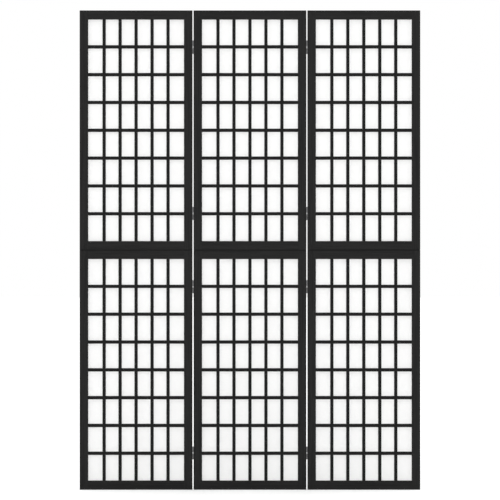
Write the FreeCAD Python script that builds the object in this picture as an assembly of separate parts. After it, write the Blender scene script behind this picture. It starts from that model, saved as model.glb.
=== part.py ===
import FreeCAD, Part
import os

# Shoji folding screen: three panels side by side, each of two equal half-frames, one on the other.
# Sizes are in millimetres. X runs along the screen, Y into its depth (the front looks along -Y)
# and Z up. The origin is the middle of the middle panel's foot. The screen stands straight.

# Panels
PANEL_WIDTH = 400.0
HALF_HEIGHT = 850.0
THICKNESS = 18.0
PANEL_GAP = 4.0  # between neighbouring stiles, filled by the folded hinge
ARRIS = 0.8  # eased edge round the outside and the opening of a half-frame

# Half-frame
STILE_WIDTH = 30.0
RAIL_HEIGHT = 32.0
TENON_THICKNESS = 6.0
TENON_SHOULDER = 5.0  # wood above and below a rail's tenon
TENON_COVER = 12.0  # wood left beyond the end of a rail's tenon
END_CLEARANCE = 0.3  # a blind hole is this much deeper than what it takes

# Lattice
LATTICE_SETBACK = 3.0  # from the frame's front face back to the bars
LATTICE_DEPTH = 10.0
UPRIGHT_WIDTH = 11.5
UPRIGHT_PITCH = 56.7
CROSSBAR_WIDTH = 11.7
CROSSBAR_PITCH = 98.7
BAR_ARRIS = 0.5
STUB_LENGTH = 6.0  # a bar's end goes this far into the frame
STUB_SHOULDER = 2.0  # the bar is this much larger than its stub on each side

# Paper, in a rebate round the back of the opening
REBATE_WIDTH = 8.0
PAPER_THICKNESS = 0.4
PAPER_CLEARANCE = 1.0  # from the paper's edge to the rebate's wall

# Seam between the half-frames
DOWEL_RADIUS = 4.0
DOWEL_CHAMFER = 1.0
SEAM_COVER = 12.0  # wood left beyond the end of a dowel, or of a seam screw
SEAM_SCREW_RADIUS = 2.0
SEAM_HEAD_RADIUS = 4.0

# Hinges, four at each joint between panels
HINGE_HEIGHT = 45.0
HINGE_FROM_END = 130.0  # from an end of a half-frame to the middle of a hinge
SHEET = 0.8  # hinge metal
LEAF_MARGIN = 1.5  # from the edge of a leaf to the face of the panel
PIN_OFFSET = 1.0  # from the face of the panel out to a pin's axis
BARREL_LENGTH = 18.5
KNUCKLE_PLAY = 0.3  # between the ends of neighbouring knuckles
LINK_CLEARANCE = 0.4  # from the edge of the link plate to a leaf's knuckle
PIN_CLEARANCE = 0.05
PIN_HEAD_RADIUS = 1.7
PIN_HEAD_LENGTH = 0.6
HINGE_SCREW_COUNT = 3
HINGE_SCREW_PITCH = 15.0
HINGE_SCREW_LENGTH = 14.0
HINGE_SCREW_RADIUS = 1.25
HINGE_HEAD_RADIUS = 2.5

# Screws
SCREW_CLEARANCE = 0.05
RECESS_WIDTH = 0.28  # width, length and depth of the cross recess, as shares of the head's radius
RECESS_LENGTH = 1.1
RECESS_DEPTH = 0.4

# What follows from them
V = FreeCAD.Vector
Y_AXIS = V(0, 1, 0)
Z_AXIS = V(0, 0, 1)
opening_width = PANEL_WIDTH - 2 * STILE_WIDTH
opening_height = HALF_HEIGHT - 2 * RAIL_HEIGHT
lattice_front = -THICKNESS / 2 + LATTICE_SETBACK
lattice_back = lattice_front + LATTICE_DEPTH
lattice_middle = (lattice_front + lattice_back) / 2
tenon_length = STILE_WIDTH - TENON_COVER
panel_step = PANEL_WIDTH + PANEL_GAP
pin_y = THICKNESS / 2 + PIN_OFFSET
barrel_radius = PANEL_GAP / 2
bore_radius = barrel_radius - SHEET
knuckle_length = (BARREL_LENGTH - 2 * KNUCKLE_PLAY) / 3
hinge_levels = (HINGE_FROM_END, HALF_HEIGHT - HINGE_FROM_END)


def spread(opening, width, pitch):
    """Centres of the bars that fit across an opening, counted from its middle."""
    count = int((opening - width) / pitch)
    return [(i - (count - 1) / 2) * pitch for i in range(count)]


upright_places = spread(opening_width, UPRIGHT_WIDTH, UPRIGHT_PITCH)
crossbar_places = [
    HALF_HEIGHT / 2 + z for z in spread(opening_height, CROSSBAR_WIDTH, CROSSBAR_PITCH)
]
# Dowels stand in the two outermost cells, and seam screws in the cells next to them.
outer_bar_edge = max(upright_places) + UPRIGHT_WIDTH / 2
dowel_places = [side * (opening_width / 2 + outer_bar_edge) / 2 for side in (-1, 1)]
seam_screw_places = [side * (max(upright_places) - UPRIGHT_PITCH / 2) for side in (-1, 1)]


def block(x, y, z):
    """A box between two values, in either order, on each axis."""
    corner = V(min(x), min(y), min(z))
    return Part.makeBox(max(x) - min(x), max(y) - min(y), max(z) - min(z), corner)


def both(size):
    """From minus a size to plus a size."""
    return (-size, size)


def round_bar(radius, start, end, x=0.0, y=0.0):
    """An upright cylinder between two heights."""
    return Part.makeCylinder(radius, end - start, V(x, y, start), Z_AXIS)


def ring_round_opening(y, grow):
    """The edge of a half-frame's opening, made larger all round, at one depth."""
    x = opening_width / 2 + grow
    low = RAIL_HEIGHT - grow
    high = HALF_HEIGHT - RAIL_HEIGHT + grow
    corners = [V(-x, y, low), V(x, y, low), V(x, y, high), V(-x, y, high), V(-x, y, low)]
    return Part.makePolygon(corners)


def eased_envelope():
    """The whole outside of a half-frame, with its edges eased."""
    solid = block(both(PANEL_WIDTH / 2), both(THICKNESS / 2), (0, HALF_HEIGHT))
    return solid.makeChamfer(ARRIS, solid.Edges)


def eased_opening():
    """What comes off the front edge of the opening."""
    face = -THICKNESS / 2
    rings = [ring_round_opening(face, ARRIS), ring_round_opening(face + ARRIS, 0)]
    return Part.makeLoft(rings, True, True)


def paper_space(clearance):
    """The sides of the rebate for the paper, less a clearance, as pairs on X and Z."""
    grow = REBATE_WIDTH - clearance
    return (
        both(opening_width / 2 + grow),
        (RAIL_HEIGHT - grow, HALF_HEIGHT - RAIL_HEIGHT + grow),
    )


def rebate():
    x, z = paper_space(0)
    return block(x, (lattice_back, THICKNESS / 2), z)


def rail_tenons(end, clearance):
    """One block through both tenons of a rail: end is 0 for the bottom rail and 1 for the top."""
    foot = end * (HALF_HEIGHT - RAIL_HEIGHT)
    return block(
        both(opening_width / 2 + tenon_length + clearance),
        (lattice_middle - TENON_THICKNESS / 2, lattice_middle + TENON_THICKNESS / 2),
        (foot + TENON_SHOULDER, foot + RAIL_HEIGHT - TENON_SHOULDER),
    )


def stub_depth():
    return (lattice_front + STUB_SHOULDER, lattice_back - STUB_SHOULDER)


def upright_stubs(x, clearance):
    """One block through both stubs of a lattice upright."""
    reach = STUB_LENGTH + clearance
    half = UPRIGHT_WIDTH / 2 - STUB_SHOULDER
    return block(
        (x - half, x + half),
        stub_depth(),
        (RAIL_HEIGHT - reach, HALF_HEIGHT - RAIL_HEIGHT + reach),
    )


def crossbar_stubs(z, clearance):
    """One block through both stubs of a lattice crossbar."""
    half = CROSSBAR_WIDTH / 2 - STUB_SHOULDER
    reach = opening_width / 2 + STUB_LENGTH + clearance
    return block(both(reach), stub_depth(), (z - half, z + half))


def screw(radius, head_radius, length, clearance=0.0):
    """A countersunk screw along +Z, its head's flat at 0. With a clearance it is the screw's hole."""
    r = radius + clearance
    head = head_radius + clearance
    end = length + clearance
    profile = [V(0, 0, 0), V(head, 0, 0), V(r, 0, head - r), V(r, 0, end - 2 * r), V(0, 0, end)]
    face = Part.Face(Part.makePolygon(profile + profile[:1]))
    solid = face.revolve(V(0, 0, 0), Z_AXIS, 360)
    if clearance:
        return solid
    long, wide = RECESS_LENGTH * head_radius / 2, RECESS_WIDTH * head_radius / 2
    depth = (0, RECESS_DEPTH * head_radius)
    cross = [block(both(long), both(wide), depth), block(both(wide), both(long), depth)]
    return solid.cut(cross)


def hinge_screw_levels():
    """Heights of a leaf's screws from the hinge's middle."""
    middle = (HINGE_SCREW_COUNT - 1) / 2
    return [(i - middle) * HINGE_SCREW_PITCH for i in range(HINGE_SCREW_COUNT)]


def hinge_screws(side, clearance=0.0):
    """The screws of one leaf, or their holes. The leaf is left of the gap where side is 1."""
    one = screw(HINGE_SCREW_RADIUS, HINGE_HEAD_RADIUS, HINGE_SCREW_LENGTH, clearance)
    one = one.rotated(V(0, 0, 0), Y_AXIS, -90 * side)
    head = -side * (PANEL_GAP / 2 - SHEET)
    return [one.translated(V(head, 0, z)) for z in hinge_screw_levels()]


def seam_screws(clearance=0.0):
    """The screws up through the lower half-frame's top rail, in the panel's own place."""
    length = 2 * RAIL_HEIGHT - SEAM_COVER
    one = screw(SEAM_SCREW_RADIUS, SEAM_HEAD_RADIUS, length, clearance)
    return [one.translated(V(x, 0, HALF_HEIGHT - RAIL_HEIGHT)) for x in seam_screw_places]


def seam_dowels(clearance=0.0):
    """The dowels across the seam, or their holes, in the panel's own place."""
    reach = RAIL_HEIGHT - SEAM_COVER
    radius = DOWEL_RADIUS + clearance
    end = reach + (END_CLEARANCE if clearance else 0)
    one = round_bar(radius, HALF_HEIGHT - end, HALF_HEIGHT + end)
    if not clearance:
        one = one.makeChamfer(DOWEL_CHAMFER, [e for e in one.Edges if len(e.Vertexes) == 1])
    return [one.translated(V(x, 0, 0)) for x in dowel_places]


def stile(side, hinged):
    """The left stile where side is -1. Where it is hinged, it has the holes for the hinge screws."""
    x = (side * opening_width / 2, side * PANEL_WIDTH / 2)
    solid = block(x, both(THICKNESS / 2), (0, HALF_HEIGHT)).common(eased_envelope())
    tools = [eased_opening(), rebate()]
    tools += [rail_tenons(end, END_CLEARANCE) for end in (0, 1)]
    tools += [crossbar_stubs(z, END_CLEARANCE) for z in crossbar_places]
    if hinged:
        gap_middle = side * panel_step / 2
        for level in hinge_levels:
            holes = hinge_screws(side, SCREW_CLEARANCE)
            tools += [hole.translated(V(gap_middle, 0, level)) for hole in holes]
    return solid.cut(tools)


def rail(end, level):
    """A half-frame's bottom rail where end is 0, or top rail where it is 1.

    The half-frame is the panel's lower one where level is 0. Two rails meet at the seam."""
    foot = end * (HALF_HEIGHT - RAIL_HEIGHT)
    z = (foot, foot + RAIL_HEIGHT)
    solid = block(both(opening_width / 2), both(THICKNESS / 2), z).common(eased_envelope())
    solid = solid.fuse(rail_tenons(end, 0)).removeSplitter()
    tools = [eased_opening(), rebate()]
    tools += [upright_stubs(x, END_CLEARANCE) for x in upright_places]
    if end != level:
        seam = seam_dowels(SCREW_CLEARANCE) + seam_screws(SCREW_CLEARANCE)
        tools += [hole.translated(V(0, 0, -level * HALF_HEIGHT)) for hole in seam]
    return solid.cut(tools)


def bar(width, length):
    """An upright lattice bar with eased front edges, from height 0."""
    x = width / 2
    outline = [
        V(-x, lattice_back, 0),
        V(-x, lattice_front + BAR_ARRIS, 0),
        V(-x + BAR_ARRIS, lattice_front, 0),
        V(x - BAR_ARRIS, lattice_front, 0),
        V(x, lattice_front + BAR_ARRIS, 0),
        V(x, lattice_back, 0),
    ]
    return Part.Face(Part.makePolygon(outline + outline[:1])).extrude(V(0, 0, length))


def crossing(x, z, y):
    """Where an upright and a crossbar meet, between two depths."""
    return block(
        (x - UPRIGHT_WIDTH / 2, x + UPRIGHT_WIDTH / 2),
        y,
        (z - CROSSBAR_WIDTH / 2, z + CROSSBAR_WIDTH / 2),
    )


def uprights():
    """The lattice's uprights, notched from the back where a crossbar passes."""
    solids = []
    for x in upright_places:
        solid = bar(UPRIGHT_WIDTH, opening_height).translated(V(x, 0, RAIL_HEIGHT))
        solid = solid.fuse(upright_stubs(x, 0)).removeSplitter()
        back = (lattice_middle, lattice_back)
        solids.append(solid.cut([crossing(x, z, back) for z in crossbar_places]))
    return solids


def crossbars():
    """The lattice's crossbars, notched from the front where an upright passes."""
    solids = []
    for z in crossbar_places:
        solid = bar(CROSSBAR_WIDTH, opening_width).rotated(V(0, 0, 0), Y_AXIS, 90)
        solid = solid.translated(V(-opening_width / 2, 0, z))
        solid = solid.fuse(crossbar_stubs(z, 0)).removeSplitter()
        front = (lattice_front, lattice_middle)
        solids.append(solid.cut([crossing(x, z, front) for x in upright_places]))
    return solids


def paper():
    x, z = paper_space(PAPER_CLEARANCE)
    return block(x, (lattice_back, lattice_back + PAPER_THICKNESS), z)


def knuckle_spans(side):
    """Heights of a barrel's three knuckles. The front barrel, side 1, is the hinge's upper one."""
    foot = HINGE_HEIGHT / 2 - BARREL_LENGTH if side == 1 else -HINGE_HEIGHT / 2
    step = knuckle_length + KNUCKLE_PLAY
    return [(foot + i * step, foot + i * step + knuckle_length) for i in range(3)]


def knuckles(solid, side, spans, x, edge):
    """A plate with its knuckles rolled on: x is the metal's place, and edge is the plate's edge."""
    axis_y = -side * pin_y
    for span in spans:
        strip = block(x, (edge, axis_y), span)
        solid = solid.fuse([strip, round_bar(barrel_radius, *span, y=axis_y)])
    for span in spans:
        solid = solid.cut(round_bar(bore_radius, *span, y=axis_y))
    return solid.removeSplitter()


def leaf(side):
    """The leaf left of the gap, on the front pin, where side is 1, or the right one, on the rear."""
    x = (-side * PANEL_GAP / 2, -side * (PANEL_GAP / 2 - SHEET))
    reach = THICKNESS / 2 - LEAF_MARGIN
    plate = block(x, both(reach), both(HINGE_HEIGHT / 2))
    first, _, last = knuckle_spans(side)
    return knuckles(plate, side, (first, last), x, -side * reach).cut(
        hinge_screws(side, SCREW_CLEARANCE)
    )


def link_plate():
    """The plate in the middle of the gap, from the front pin to the rear one."""
    x = both(SHEET / 2)
    reach = pin_y - barrel_radius - LINK_CLEARANCE
    solid = block(x, both(reach), both(HINGE_HEIGHT / 2))
    for side in (1, -1):
        solid = knuckles(solid, side, knuckle_spans(side)[1:2], x, -side * reach)
    return solid


def pin(side):
    """The front pin where side is 1, or the rear one, with a head peened on each end."""
    spans = knuckle_spans(side)
    foot = spans[0][0] - KNUCKLE_PLAY
    top = spans[-1][1] + KNUCKLE_PLAY
    axis_y = -side * pin_y
    rod = round_bar(bore_radius - PIN_CLEARANCE, foot, top, y=axis_y)
    lower_head = round_bar(PIN_HEAD_RADIUS, foot - PIN_HEAD_LENGTH, foot, y=axis_y)
    upper_head = round_bar(PIN_HEAD_RADIUS, top, top + PIN_HEAD_LENGTH, y=axis_y)
    return rod.fuse([lower_head, upper_head])


def moved(solids, x, z):
    return [solid.translated(V(x, 0, z)) for solid in solids]


def write(node, solids):
    shape = solids[0] if len(solids) == 1 else Part.makeCompound(solids)
    shape.exportStep(os.path.join("parts", node + ".step"))


def write_panel(name, place):
    """One panel: place is -1 for the left one, 0 for the middle one and 1 for the right one."""
    x = place * panel_step
    for half, level in (("lower", 0), ("upper", 1)):
        pieces = {
            "left_stile": [stiles[-1, place > -1]],
            "right_stile": [stiles[1, place < 1]],
            "bottom_rail": [rails[0, level]],
            "top_rail": [rails[1, level]],
            **lattice_and_paper,
        }
        for piece, solids in pieces.items():
            write(f"{name}_{half}_{piece}", moved(solids, x, level * HALF_HEIGHT))
    write(f"{name}_seam_dowels", moved(seam_dowels(), x, 0))
    write(f"{name}_seam_screws", moved(seam_screws(), x, 0))


def write_hinges(name, side):
    """The hinges at one joint between panels: side is -1 for the left joint and 1 for the right."""
    pieces = {
        "left_leaves": [leaf(1)],
        "right_leaves": [leaf(-1)],
        "links": [link_plate()],
        "pins": [pin(1), pin(-1)],
        "left_screws": hinge_screws(1),
        "right_screws": hinge_screws(-1),
    }
    for piece, solids in pieces.items():
        placed = []
        for foot in (0, HALF_HEIGHT):
            for level in hinge_levels:
                placed += moved(solids, side * panel_step / 2, foot + level)
        write(f"{name}_hinge_{piece}", placed)


# Pieces that several half-frames share, each at the place it has in a lower middle half-frame
stiles = {(side, hinged): stile(side, hinged) for side in (-1, 1) for hinged in (False, True)}
rails = {(end, level): rail(end, level) for end in (0, 1) for level in (0, 1)}
lattice_and_paper = {
    "lattice_uprights": uprights(),
    "lattice_crossbars": crossbars(),
    "paper": [paper()],
}

os.makedirs("parts", exist_ok=True)
write_panel("left", -1)
write_panel("middle", 0)
write_panel("right", 1)
write_hinges("left", -1)
write_hinges("right", 1)
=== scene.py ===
import math

import bpy
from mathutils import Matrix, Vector, noise
from mathutils.bvhtree import BVHTree


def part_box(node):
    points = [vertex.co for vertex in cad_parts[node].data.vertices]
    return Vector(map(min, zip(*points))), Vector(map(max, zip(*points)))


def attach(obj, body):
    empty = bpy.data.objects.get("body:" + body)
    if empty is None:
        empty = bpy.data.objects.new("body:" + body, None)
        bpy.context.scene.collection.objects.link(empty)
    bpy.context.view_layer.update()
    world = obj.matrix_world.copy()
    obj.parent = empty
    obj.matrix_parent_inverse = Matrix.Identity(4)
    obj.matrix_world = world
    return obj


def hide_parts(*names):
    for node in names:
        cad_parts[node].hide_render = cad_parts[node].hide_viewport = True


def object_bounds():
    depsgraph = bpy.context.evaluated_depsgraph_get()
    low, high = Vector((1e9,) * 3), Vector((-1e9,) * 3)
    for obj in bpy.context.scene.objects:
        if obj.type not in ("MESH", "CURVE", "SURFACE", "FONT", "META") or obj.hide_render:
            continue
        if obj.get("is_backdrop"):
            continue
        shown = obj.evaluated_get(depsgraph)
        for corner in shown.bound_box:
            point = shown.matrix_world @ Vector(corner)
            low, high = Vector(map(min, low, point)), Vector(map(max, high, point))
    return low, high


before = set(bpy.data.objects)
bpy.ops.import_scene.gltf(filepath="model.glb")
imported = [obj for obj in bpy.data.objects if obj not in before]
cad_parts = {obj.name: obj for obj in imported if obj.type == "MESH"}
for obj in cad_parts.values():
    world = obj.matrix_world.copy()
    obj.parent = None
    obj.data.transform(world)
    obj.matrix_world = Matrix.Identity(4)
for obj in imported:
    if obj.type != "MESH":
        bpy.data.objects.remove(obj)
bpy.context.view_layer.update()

PANELS = ("left", "middle", "right")
HALVES = ("lower", "upper")
LENGTHWISE = {"upright": Vector((0, 0, 1)), "level": Vector((1, 0, 0))}
WHITE = (1.0, 1.0, 1.0, 1.0)

# Figure of the wood: a feature's size along the grain and across it, in metres
WANDER = (0.30, 0.05)
RINGS = (0.22, 0.0048)
FIBRES = (0.016, 0.0007)
PORES = (0.005, 0.0004)
BEECH_STREAKS = (0.05, 0.002)
BEECH_FLECKS = (0.0018, 0.0004)

# Surface of the wood
PIECE_SHIFT = (3.1, 5.3, 4.7)  # sets the figure of one piece apart from the next one's
UNEVEN_PER_METRE = 22.0
GRAIN_DEPTH = 0.00012
BEECH_GRAIN_DEPTH = 0.00008

# Black stain, and shade painted along the middle seam
STAIN_TONES = (
    (0.0110, 0.0108, 0.0107),  # early wood
    (0.0050, 0.0050, 0.0051),  # late wood
    (0.0175, 0.0172, 0.0170),  # fibres that catch the light
    (0.0025, 0.0025, 0.0025),  # open pores
)
FRAME_BRIGHTNESS = 1.0
LATTICE_BRIGHTNESS = 0.5
DUST_TONE = (0.0900, 0.0870, 0.0820)
RUBBED_TONE = (0.0640, 0.0500, 0.0390)
# painted shade: a near-black band along the middle seam, standing in for the groove's shade
SEAM_SHADE_TONE = (0.0008, 0.0008, 0.0008)
SEAM_SHADE_REACH = 0.0020  # how far from the seam the painted shade reaches
SEAM_SHADE_FADE = 0.0008

# Beech
BEECH_TONES = ((0.52, 0.34, 0.19), (0.70, 0.50, 0.31))
FLECK_TONE = (0.30, 0.17, 0.09)

# Paper
PAPER_STEP = 0.0075  # grid of the sheet's mesh
GLUE_LINE = 0.00005  # the paper's distance behind the bars it is glued to
SLACK = 0.0009  # the most that it stands back from them in the middle of a cell
SLACK_REACH = 0.022  # how far from a bar it takes to get there
RIPPLES_PER_METRE = (38, 26)  # across and up
RIPPLE_MEAN = 0.55
RIPPLE_SWING = 0.45
STRANDS = (  # direction in degrees, length and width in metres
    (14, 0.045, 0.0024),
    (-38, 0.034, 0.0021),
    (71, 0.040, 0.0028),
    (128, 0.030, 0.0019),
)
PAPER_TONES = ((0.915, 0.913, 0.908), (0.985, 0.985, 0.982))  # between strands, on strands
THROUGH_TONE = (0.95, 0.95, 0.945, 1.0)
CLOUDS_PER_METRE = 85.0
TOOTH_PER_METRE = 2600.0
PAPER_RELIEF = 0.00006

# Zinc: pale tone, dark tone and roughness
HINGE_ZINC = ((0.28, 0.28, 0.285), (0.19, 0.19, 0.195), 0.34)
SCREW_ZINC = ((0.50, 0.49, 0.46), (0.36, 0.35, 0.33), 0.26)
SCRATCH_TONE = (0.62, 0.62, 0.61)
BLOOM_PER_METRE = 420.0
ROLLING_LINE = (0.0004, 0.0004, 0.02)  # a line's size on X, Y and Z
SCRATCH = (0.0010, 0.0080, 0.00028)  # and a scratch's
ZINC_RELIEF = 0.00002

# Camera and light
LENS_MM = 200
SENSOR_MM = 36
PICTURE_PX = 500
MM_PER_PX = 3.546
OBJECT_CENTRE_PX = (249.94, 250.07)
FLOOR_RADIUS = 40.0
FLOOR_SIDES = 64
FLOOR_TONES = ((0.93, 0.93, 0.93), (0.95, 0.95, 0.95))
FLOOR_GLOW = 0.22  # which only the camera sees
CLIP_DISTANCE = 4 * FLOOR_RADIUS
DAYLIGHT = 0.60  # from all round
BACK_LIGHT = 0.92  # more of it from behind the screen, through the paper
BACK_DIRECTION = (0.25, 0.80, 0.75)
BACK_FALL_OFF = 1.5  # the power that narrows the light from behind
KEY_DIRECTION = (-0.28, -1.0, 1.05)
KEY_SPREAD_DEG = 35
KEY_STRENGTH = 0.9


class Value:
    """A shader socket that can be used in sums: each sum adds its Math node."""

    def __init__(self, finish, socket):
        self.finish = finish
        self.socket = socket

    def sum(self, operation, *terms):
        return self.finish.node("ShaderNodeMath", {"operation": operation}, terms)

    def __add__(self, other):
        return self.sum("ADD", self, other)

    def __radd__(self, other):
        return self.sum("ADD", other, self)

    def __sub__(self, other):
        return self.sum("SUBTRACT", self, other)

    def __rsub__(self, other):
        return self.sum("SUBTRACT", other, self)

    def __mul__(self, other):
        return self.sum("MULTIPLY", self, other)

    def __rmul__(self, other):
        return self.sum("MULTIPLY", other, self)

    def __truediv__(self, other):
        return self.sum("DIVIDE", self, other)

    def __pow__(self, other):
        return self.sum("POWER", self, other)

    def larger(self, other):
        return self.sum("MAXIMUM", self, other)

    def size(self):
        """Its value without the sign."""
        return self.sum("ABSOLUTE", self)

    def held(self):
        """Kept between 0 and 1."""
        return self.sum("MINIMUM", self.larger(0.0), 1.0)

    def above(self, start, rise):
        """From 0 where it is under start up to 1, gaining rise for each 1 of its own."""
        return ((self - start) * rise).held()


class Finish:
    """A material in the making, and the one method that adds a node to it."""

    def __init__(self, name, world=None):
        self.owner = world or bpy.data.materials.new(name)
        self.owner.use_nodes = True
        self.tree = self.owner.node_tree
        self.tree.nodes.clear()

    def node(self, kind, settings=None, inputs=(), out=0):
        """Adds a node: its settings first, then its sockets, by place or by name."""
        made = self.tree.nodes.new(kind)
        for name, setting in (settings or {}).items():
            setattr(made, name, setting)
        given = inputs.items() if isinstance(inputs, dict) else enumerate(inputs)
        for name, given_value in given:
            if isinstance(given_value, Value):
                self.tree.links.new(given_value.socket, made.inputs[name])
            else:
                made.inputs[name].default_value = given_value
        return Value(self, made.outputs[out]) if made.outputs else None

    def vector(self, operation, *terms, out=0):
        return self.node("ShaderNodeVectorMath", {"operation": operation}, terms, out)

    def mix(self, factor, one, other):
        """A colour between two, each a value or three numbers."""
        settings = {"data_type": "RGBA"}
        places = {0: factor, 6: value_or_colour(one), 7: value_or_colour(other)}
        return self.node("ShaderNodeMix", settings, places, out=2)

    def place(self):
        """Where a point is on its body, in metres."""
        return self.node("ShaderNodeTexCoord", out="Object")

    def piece_number(self):
        """A number from 0 to 1, another one for each loose solid of a mesh."""
        return self.node("ShaderNodeNewGeometry", out="Random Per Island")

    def speckle(self, vector, scale, detail, distortion=0.0):
        inputs = {"Vector": vector, "Scale": scale, "Detail": detail, "Distortion": distortion}
        return self.node("ShaderNodeTexNoise", {}, inputs)

    def stretched(self, vector, sizes):
        """A vector divided by the size of a feature along each axis."""
        return self.vector("MULTIPLY", vector, tuple(1 / size for size in sizes))

    def bump(self, height, depth):
        """The normal that a height map gives, its 0 to 1 standing for a depth in metres."""
        inputs = {"Strength": 1.0, "Distance": depth, "Height": height}
        return self.node("ShaderNodeBump", {}, inputs)

    def principled(self, **inputs):
        """The main shader, with a socket's name written with _ for each space."""
        sockets = {name.replace("_", " "): given for name, given in inputs.items()}
        return self.node("ShaderNodeBsdfPrincipled", {}, sockets)

    def surface(self, shader):
        self.node("ShaderNodeOutputMaterial", {}, {"Surface": shader})
        return self.owner


def value_or_colour(given):
    return given if isinstance(given, Value) else (*given, 1.0)


def wood_figure(finish, place, grain, size, detail, distortion=0.0):
    """Noise drawn out along the grain."""
    along, across = size
    sizes = tuple(along if part else across for part in LENGTHWISE[grain])
    return finish.speckle(finish.stretched(place, sizes), 1.0, detail, distortion)


def on_eased_edge(facing):
    """1 where the surface faces between two axes, so that no part of its normal is near 1."""
    largest = 0.0
    for part in facing:
        largest = part.size().larger(largest)
    return ((1.0 - largest) * 6.0).held()


def seam_shade_mask(finish):
    """Where the seam's shade is painted: 1 beside the seam between two half-frames, and 0 away
    from it.
    """
    height = finish.node("ShaderNodeSeparateXYZ", {}, (finish.place(),), out=2)
    away = (height - seam_height()).size()
    return ((SEAM_SHADE_REACH - away) / SEAM_SHADE_FADE).held()


def ebonised_wood(name, grain, brightness):
    """Softwood stained black and lacquered satin, with its grain just showing.

    The black is rubbed thin on eased edges and has dust on top; shade is painted in as a
    near-black band along the middle seam.
    """
    finish = Finish(name)
    number = finish.piece_number()
    shift = finish.node("ShaderNodeCombineXYZ", {}, [number * step for step in PIECE_SHIFT])
    place = finish.vector("ADD", finish.place(), shift)
    wander = wood_figure(finish, place, grain, WANDER, 2.0)
    rings = wood_figure(finish, place, grain, RINGS, 3.0, 0.5)
    fibres = wood_figure(finish, place, grain, FIBRES, 3.0)
    pores = wood_figure(finish, place, grain, PORES, 1.0)
    uneven = finish.speckle(place, UNEVEN_PER_METRE, 2.0)
    late_wood = (rings + wander * 0.3).above(0.60, rise=6.0)
    open_grain = pores.above(0.60, rise=6.0)
    normal = finish.node("ShaderNodeTexCoord", out="Normal")
    facing = [finish.node("ShaderNodeSeparateXYZ", {}, (normal,), out=i) for i in range(3)]
    rubbed = on_eased_edge(facing) * uneven.above(0.46, rise=5.0) * (0.5 + fibres * 0.8)
    dust = facing[2].held() * (0.25 + uneven * 0.9)
    tones = [tuple(part * brightness for part in tone) for tone in STAIN_TONES]
    early_tone, late_tone, fibre_tone, pore_tone = tones
    stain_and_shade = finish.mix(late_wood, early_tone, late_tone)
    stain_and_shade = finish.mix(fibres.above(0.42, rise=2.6) * 0.6, stain_and_shade, fibre_tone)
    stain_and_shade = finish.mix(open_grain * 0.8, stain_and_shade, pore_tone)
    stain_and_shade = finish.mix(dust * 0.30, stain_and_shade, DUST_TONE)
    stain_and_shade = finish.mix(rubbed * 0.60, stain_and_shade, RUBBED_TONE)
    # painted shade: the seam darkened to near black, standing in for the groove's shade
    stain_and_shade = finish.mix(seam_shade_mask(finish), stain_and_shade, SEAM_SHADE_TONE)
    sheen = 0.34 + fibres * 0.20 - late_wood * 0.08 + rubbed * 0.18 + dust * 0.2
    height = late_wood * 0.30 + fibres * 0.55 - open_grain * 0.6
    return finish.surface(finish.principled(
        Base_Color=stain_and_shade,
        Roughness=sheen + (number - 0.5) * 0.06,
        IOR=1.26,
        Normal=finish.bump(height, GRAIN_DEPTH),
    ))


def bare_beech():
    """The dowels' plain wood, pale with short dark flecks."""
    finish = Finish("bare_beech")
    place = finish.place()
    streaks = wood_figure(finish, place, "upright", BEECH_STREAKS, 3.0)
    fleck = wood_figure(finish, place, "upright", BEECH_FLECKS, 1.0).above(0.62, rise=8.0)
    wood = finish.mix(streaks, *BEECH_TONES)
    wood = finish.mix(fleck * 0.6, wood, FLECK_TONE)
    return finish.surface(finish.principled(
        Base_Color=wood,
        Roughness=0.6 + streaks * 0.15,
        Normal=finish.bump(streaks - fleck * 0.4, BEECH_GRAIN_DEPTH),
    ))


def long_fibres(finish, place, turn, length, width):
    """Thin pale strands that run one way across the paper."""
    turned = finish.node(
        "ShaderNodeVectorRotate",
        {"rotation_type": "Y_AXIS"},
        {"Vector": place, "Angle": math.radians(turn)},
    )
    lines = finish.speckle(finish.stretched(turned, (length, 1.0, width)), 1.0, 2.0, 1.2)
    on_line = 1.0 - (lines - 0.5).size() * 22.0
    patch = (length * 0.8, 1.0, width * 7)
    patches = finish.speckle(finish.stretched(turned, patch), 1.0, 1.0)
    return on_line.held() * patches.above(0.46, rise=7.0)


def mulberry_paper():
    """White translucent paper, with long strands and a cloudy look against the light."""
    finish = Finish("mulberry_paper")
    place = finish.place()
    first, *others = [long_fibres(finish, place, *strand) for strand in STRANDS]
    strands = first
    for other in others:
        strands = strands.larger(other)
    clouds = (finish.speckle(place, CLOUDS_PER_METRE, 5.0) - 0.5) * 1.6
    tooth = finish.speckle(place, TOOTH_PER_METRE, 2.0)
    height = strands * 0.7 + tooth * 0.35 + clouds * 0.3
    lit = finish.principled(
        Base_Color=finish.mix(strands * 0.8, *PAPER_TONES),
        Roughness=0.84 - strands * 0.14,
        IOR=1.3,
        Normal=finish.bump(height, PAPER_RELIEF),
    )
    through = finish.node("ShaderNodeBsdfTranslucent", {}, {"Color": THROUGH_TONE})
    let_through = 0.68 + clouds * 0.14 - strands * 0.22
    return finish.surface(finish.node("ShaderNodeMixShader", {}, (let_through, lit, through)))


def zinc_plate(name, pale, dark, roughness):
    """Dull zinc on rolled steel: faint rolling lines, a patchy bloom and small scratches."""
    finish = Finish(name)
    place = finish.place()
    bloom = finish.speckle(place, BLOOM_PER_METRE, 4.0, 0.8)
    rolled = finish.speckle(finish.stretched(place, ROLLING_LINE), 1.0, 2.0)
    scratched = finish.speckle(finish.stretched(place, SCRATCH), 1.0, 1.0).above(0.67, rise=9.0)
    plate = finish.mix(bloom.above(0.3, rise=2.2), dark, pale)
    plate = finish.mix(scratched * 0.5, plate, SCRATCH_TONE)
    return finish.surface(finish.principled(
        Base_Color=plate,
        Metallic=1.0,
        Roughness=roughness + bloom * 0.2 - scratched * 0.15,
        Normal=finish.bump(rolled * 0.6 + bloom * 0.4 - scratched * 0.5, ZINC_RELIEF),
    ))


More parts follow.
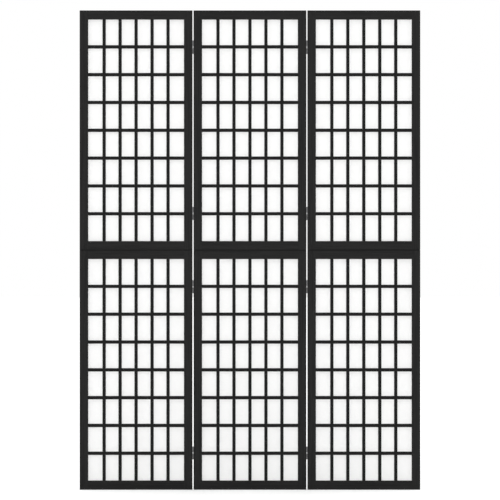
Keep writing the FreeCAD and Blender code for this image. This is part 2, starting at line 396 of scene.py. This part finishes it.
def pale_floor():
    """A white studio floor that shows the screen's shadow."""
    finish = Finish("pale_floor")
    colour = finish.mix(finish.speckle(finish.place(), 3.0, 3.0), *FLOOR_TONES)
    matt = finish.node("ShaderNodeBsdfDiffuse", {}, {"Color": colour})
    glow = finish.node("ShaderNodeEmission", {}, {"Color": WHITE, "Strength": FLOOR_GLOW})
    both = finish.node("ShaderNodeAddShader", {}, (matt, glow))
    seen = finish.node("ShaderNodeLightPath", out="Is Camera Ray")
    return finish.surface(finish.node("ShaderNodeMixShader", {}, (seen, matt, both)))


def light_the_room():
    """Daylight all round and more from behind. The camera and reflections see plain white."""
    world = bpy.data.worlds.new("daylight")
    bpy.context.scene.world = world
    finish = Finish("daylight", world)
    camera_ray = finish.node("ShaderNodeLightPath", out="Is Camera Ray")
    seen = camera_ray.larger(finish.node("ShaderNodeLightPath", out="Is Glossy Ray"))
    direction = finish.node("ShaderNodeTexCoord", out="Generated")
    behind = tuple(Vector(BACK_DIRECTION).normalized())
    facing = finish.vector("DOT_PRODUCT", direction, behind, out="Value").larger(0.0)
    light = DAYLIGHT + BACK_LIGHT * facing ** BACK_FALL_OFF
    strength = light + seen * (1.0 - light)
    background = finish.node("ShaderNodeBackground", {}, {"Color": WHITE, "Strength": strength})
    finish.node("ShaderNodeOutputWorld", {}, {"Surface": background})


def key_light():
    """A broad soft light from high in front and a little to the left."""
    lamp = bpy.data.lights.new("key_light", "SUN")
    lamp.angle = math.radians(KEY_SPREAD_DEG)
    lamp.energy = KEY_STRENGTH
    made = bpy.data.objects.new("key_light", lamp)
    made.rotation_euler = Vector(KEY_DIRECTION).to_track_quat("Z", "Y").to_euler()
    bpy.context.scene.collection.objects.link(made)


def place_camera():
    """A long lens straight in front, so that the picture spans what the photograph spans."""
    low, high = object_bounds()
    centre = (low + high) / 2
    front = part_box("middle_upper_top_rail")[0].y
    aside, down = (px - PICTURE_PX / 2 for px in OBJECT_CENTRE_PX)
    camera = bpy.data.cameras.new("camera")
    camera.lens = LENS_MM
    camera.sensor_width = SENSOR_MM
    camera.clip_end = CLIP_DISTANCE
    distance = PICTURE_PX * MM_PER_PX / 1000 * LENS_MM / SENSOR_MM
    made = bpy.data.objects.new("camera", camera)
    made.location = (
        centre.x - aside * MM_PER_PX / 1000,
        front - distance,
        centre.z + down * MM_PER_PX / 1000,
    )
    made.rotation_euler = (math.pi / 2, 0, 0)
    bpy.context.scene.collection.objects.link(made)
    bpy.context.scene.camera = made


def lay_floor():
    mesh = bpy.data.meshes.new("floor")
    turns = [2 * math.pi * i / FLOOR_SIDES for i in range(FLOOR_SIDES)]
    rim = [(FLOOR_RADIUS * math.cos(t), FLOOR_RADIUS * math.sin(t), 0.0) for t in turns]
    mesh.from_pydata(rim, [], [list(range(FLOOR_SIDES))])
    floor = bpy.data.objects.new("floor", mesh)
    floor.data.materials.append(pale_floor())
    bpy.context.scene.collection.objects.link(floor)
    floor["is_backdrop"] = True


def finish_node(node, material):
    """Gives a CAD piece its finish."""
    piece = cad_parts[node]
    piece.data.materials.clear()
    piece.data.materials.append(material)


def lattice_tree(half):
    """The bars of one half-frame, for finding the nearest one."""
    points, faces = [], []
    for bars in ("lattice_uprights", "lattice_crossbars"):
        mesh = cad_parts[f"{half}_{bars}"].data
        start = len(points)
        points += [vertex.co.copy() for vertex in mesh.vertices]
        faces += [[start + i for i in polygon.vertices] for polygon in mesh.polygons]
    return BVHTree.FromPolygons(points, faces)


def eased(share):
    """0 to 1, starting and ending level."""
    return share * share * (3 - 2 * share)


def sheet_points(half, low, high, across, up):
    """The sheet's grid: flat where it is glued to bars and rebate, a little slack between."""
    opening_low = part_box(f"{half}_left_stile")[1].x
    opening_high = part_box(f"{half}_right_stile")[0].x
    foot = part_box(f"{half}_bottom_rail")[1].z
    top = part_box(f"{half}_top_rail")[0].z
    bars = lattice_tree(half)
    points = []
    for j in range(up + 1):
        for i in range(across + 1):
            x = low.x + (high.x - low.x) * i / across
            z = low.z + (high.z - low.z) * j / up
            near = min(x - opening_low, opening_high - x, z - foot, top - z)
            if near > 0:
                near = min(near, bars.find_nearest(Vector((x, low.y, z)))[3])
            belly = eased(min(max(near / SLACK_REACH, 0.0), 1.0))
            wave = noise.noise(Vector((x * RIPPLES_PER_METRE[0], 0, z * RIPPLES_PER_METRE[1])))
            ripple = RIPPLE_MEAN + RIPPLE_SWING * wave
            points.append((x, low.y + GLUE_LINE + SLACK * belly * ripple, z))
    return points


def paper_sheet(half, body, material):
    """One sheet of paper in place of its plain solid."""
    low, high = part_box(f"{half}_paper")
    across = round((high.x - low.x) / PAPER_STEP)
    up = round((high.z - low.z) / PAPER_STEP)
    row = across + 1
    faces = [
        (j * row + i, j * row + i + 1, (j + 1) * row + i + 1, (j + 1) * row + i)
        for j in range(up)
        for i in range(across)
    ]
    mesh = bpy.data.meshes.new(f"{half}_paper_sheet")
    mesh.from_pydata(sheet_points(half, low, high, across, up), [], faces)
    mesh.materials.append(material)
    mesh.shade_smooth()
    sheet = bpy.data.objects.new(f"{half}_paper_sheet", mesh)
    bpy.context.scene.collection.objects.link(sheet)
    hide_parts(f"{half}_paper")
    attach(sheet, body)


def seam_height():
    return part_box("middle_lower_top_rail")[1].z


def dress_screen():
    frame_wood = {g: ebonised_wood(f"frame_wood_{g}", g, FRAME_BRIGHTNESS) for g in LENGTHWISE}
    lattice_wood = {
        g: ebonised_wood(f"lattice_wood_{g}", g, LATTICE_BRIGHTNESS) for g in LENGTHWISE
    }
    paper = mulberry_paper()
    beech = bare_beech()
    hinge_plate = zinc_plate("hinge_plate", *HINGE_ZINC)
    screw_plate = zinc_plate("screw_plate", *SCREW_ZINC)
    for panel in PANELS:
        for level in HALVES:
            half = f"{panel}_{level}"
            for piece in ("left_stile", "right_stile"):
                finish_node(f"{half}_{piece}", frame_wood["upright"])
            for piece in ("bottom_rail", "top_rail"):
                finish_node(f"{half}_{piece}", frame_wood["level"])
            finish_node(f"{half}_lattice_uprights", lattice_wood["upright"])
            finish_node(f"{half}_lattice_crossbars", lattice_wood["level"])
            paper_sheet(half, f"{panel}_panel", paper)
        finish_node(f"{panel}_seam_dowels", beech)
        finish_node(f"{panel}_seam_screws", screw_plate)
    for joint in ("left", "right"):
        for piece in ("left_leaves", "right_leaves", "links", "pins"):
            finish_node(f"{joint}_hinge_{piece}", hinge_plate)
        for piece in ("left_screws", "right_screws"):
            finish_node(f"{joint}_hinge_{piece}", screw_plate)


dress_screen()
lay_floor()
light_the_room()
key_light()
place_camera()
bpy.context.scene.view_settings.view_transform = "Standard"
